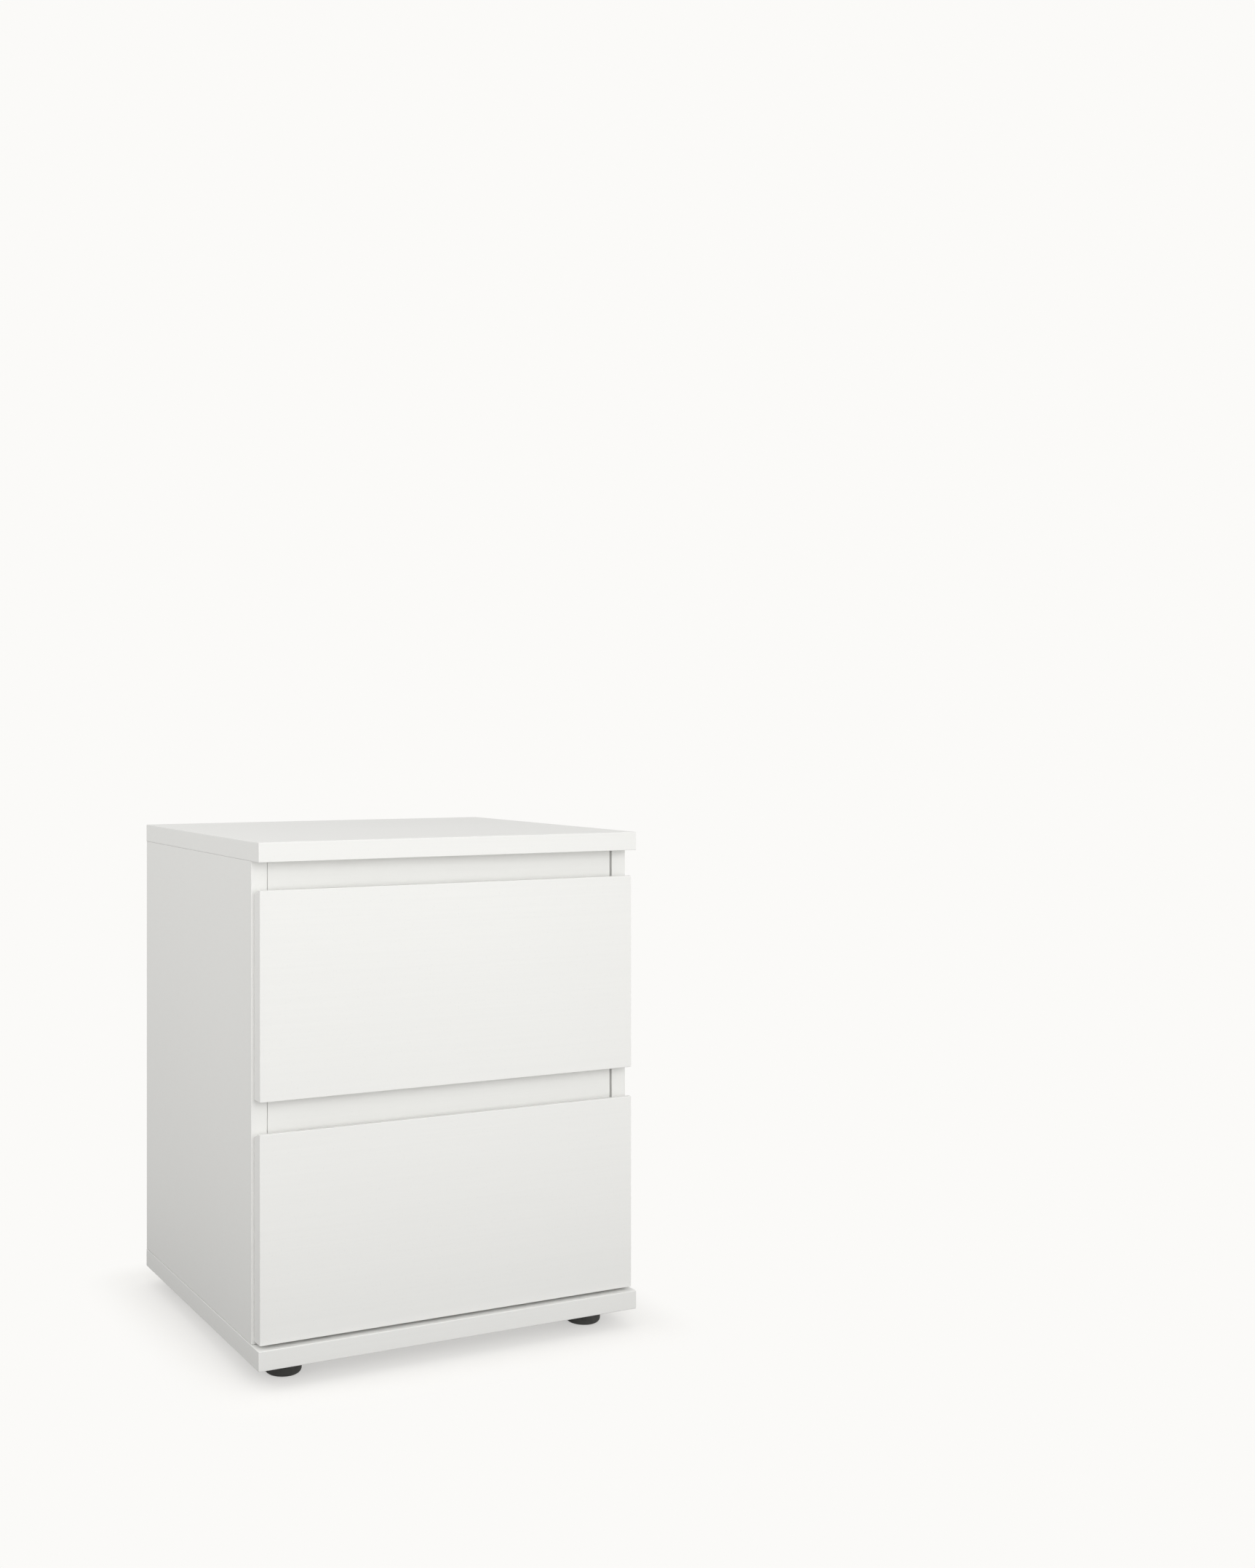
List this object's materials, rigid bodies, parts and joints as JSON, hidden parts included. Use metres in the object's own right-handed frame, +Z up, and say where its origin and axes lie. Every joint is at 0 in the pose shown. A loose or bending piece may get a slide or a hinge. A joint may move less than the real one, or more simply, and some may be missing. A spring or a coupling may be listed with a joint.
{
  "type": "nightstand",
  "caption": "White nightstand with drawers that slide out, pulled by the finger gaps above their fronts, between overhanging top and bottom panels on short round feet.",
  "frame": {"origin": "on the floor, under the middle of the top panel's outline", "axes": "+Z up, -Y out through the drawer fronts, +X towards the right-hand side as seen from the front"},
  "size_m": [0.4, 0.34, 0.492],
  "materials": {
    "white_board": "satin white melamine-coated board",
    "white_hardboard": "matt white lacquered hardboard",
    "black_plastic": "satin black moulded plastic",
    "white_steel": "smooth white powder coat",
    "white_nylon": "satin off-white nylon",
    "zinc": "zinc plated"
  },
  "bodies": {
    "carcass": {"top_panel": "white_board", "bottom_panel": "white_board", "side_panel_left": "white_board", "side_panel_right": "white_board", "upper_rail": "white_board", "middle_rail": "white_board", "back_panel": "white_hardboard", "foot_front_left": "black_plastic", "foot_front_right": "black_plastic", "foot_rear_left": "black_plastic", "foot_rear_right": "black_plastic", "top_cam_lock_front_left": "zinc", "top_cam_bolt_front_left": "zinc", "bottom_screw_front_left": "zinc", "top_cam_lock_front_right": "zinc", "top_cam_bolt_front_right": "zinc", "bottom_screw_front_right": "zinc", "top_cam_lock_rear_left": "zinc", "top_cam_bolt_rear_left": "zinc", "bottom_screw_rear_left": "zinc", "top_cam_lock_rear_right": "zinc", "top_cam_bolt_rear_right": "zinc", "bottom_screw_rear_right": "zinc", "fixed_runner_upper_left": "white_steel", "fixed_runner_upper_right": "white_steel", "fixed_runner_lower_left": "white_steel", "fixed_runner_lower_right": "white_steel"},
    "upper_drawer": {"upper_drawer_front": "white_board", "upper_drawer_back": "white_board", "upper_drawer_side_left": "white_board", "upper_drawer_side_right": "white_board", "upper_drawer_bottom": "white_hardboard", "upper_drawer_cam_lock_left": "zinc", "upper_drawer_cam_bolt_left": "zinc", "upper_drawer_runner_left": "white_steel", "upper_drawer_cam_lock_right": "zinc", "upper_drawer_cam_bolt_right": "zinc", "upper_drawer_runner_right": "white_steel"},
    "lower_drawer": {"lower_drawer_front": "white_board", "lower_drawer_back": "white_board", "lower_drawer_side_left": "white_board", "lower_drawer_side_right": "white_board", "lower_drawer_bottom": "white_hardboard", "lower_drawer_cam_lock_left": "zinc", "lower_drawer_cam_bolt_left": "zinc", "lower_drawer_runner_left": "white_steel", "lower_drawer_cam_lock_right": "zinc", "lower_drawer_cam_bolt_right": "zinc", "lower_drawer_runner_right": "white_steel"},
    "fixed_roller_upper_left": {"fixed_roller_upper_left": "white_nylon"},
    "fixed_roller_upper_right": {"fixed_roller_upper_right": "white_nylon"},
    "upper_drawer_roller_left": {"upper_drawer_roller_left": "white_nylon"},
    "upper_drawer_roller_right": {"upper_drawer_roller_right": "white_nylon"},
    "fixed_roller_lower_left": {"fixed_roller_lower_left": "white_nylon"},
    "fixed_roller_lower_right": {"fixed_roller_lower_right": "white_nylon"},
    "lower_drawer_roller_left": {"lower_drawer_roller_left": "white_nylon"},
    "lower_drawer_roller_right": {"lower_drawer_roller_right": "white_nylon"}
  },
  "joints": [
    {"name": "upper_drawer_slide", "type": "slide", "parent": "carcass", "child": "upper_drawer", "axis": [0, -1, 0], "range_m": [0, 0.25]},
    {"name": "lower_drawer_slide", "type": "slide", "parent": "carcass", "child": "lower_drawer", "axis": [0, -1, 0], "range_m": [0, 0.25]},
    {"name": "fixed_roller_upper_left_spin", "type": "hinge", "parent": "carcass", "child": "fixed_roller_upper_left", "pos_m": [-0.1777, -0.136, 0.293], "axis": [1, 0, 0], "continuous": true},
    {"name": "upper_drawer_roller_left_spin", "type": "hinge", "parent": "upper_drawer", "child": "upper_drawer_roller_left", "pos_m": [-0.1777, 0.1379, 0.293], "axis": [1, 0, 0], "continuous": true},
    {"name": "fixed_roller_upper_right_spin", "type": "hinge", "parent": "carcass", "child": "fixed_roller_upper_right", "pos_m": [0.1777, -0.136, 0.293], "axis": [1, 0, 0], "continuous": true},
    {"name": "upper_drawer_roller_right_spin", "type": "hinge", "parent": "upper_drawer", "child": "upper_drawer_roller_right", "pos_m": [0.1777, 0.1379, 0.293], "axis": [1, 0, 0], "continuous": true},
    {"name": "fixed_roller_lower_left_spin", "type": "hinge", "parent": "carcass", "child": "fixed_roller_lower_left", "pos_m": [-0.1777, -0.136, 0.0735], "axis": [1, 0, 0], "continuous": true},
    {"name": "lower_drawer_roller_left_spin", "type": "hinge", "parent": "lower_drawer", "child": "lower_drawer_roller_left", "pos_m": [-0.1777, 0.1379, 0.0735], "axis": [1, 0, 0], "continuous": true},
    {"name": "fixed_roller_lower_right_spin", "type": "hinge", "parent": "carcass", "child": "fixed_roller_lower_right", "pos_m": [0.1777, -0.136, 0.0735], "axis": [1, 0, 0], "continuous": true},
    {"name": "lower_drawer_roller_right_spin", "type": "hinge", "parent": "lower_drawer", "child": "lower_drawer_roller_right", "pos_m": [0.1777, 0.1379, 0.0735], "axis": [1, 0, 0], "continuous": true}
  ],
  "couplings": [
    {"joint": "fixed_roller_upper_left_spin", "follows": "upper_drawer_slide", "rad_per_m": 121.95},
    {"joint": "upper_drawer_roller_left_spin", "follows": "upper_drawer_slide", "rad_per_m": 121.95},
    {"joint": "fixed_roller_upper_right_spin", "follows": "upper_drawer_slide", "rad_per_m": 121.95},
    {"joint": "upper_drawer_roller_right_spin", "follows": "upper_drawer_slide", "rad_per_m": 121.95},
    {"joint": "fixed_roller_lower_left_spin", "follows": "lower_drawer_slide", "rad_per_m": 121.95},
    {"joint": "lower_drawer_roller_left_spin", "follows": "lower_drawer_slide", "rad_per_m": 121.95},
    {"joint": "fixed_roller_lower_right_spin", "follows": "lower_drawer_slide", "rad_per_m": 121.95},
    {"joint": "lower_drawer_roller_right_spin", "follows": "lower_drawer_slide", "rad_per_m": 121.95}
  ]
}
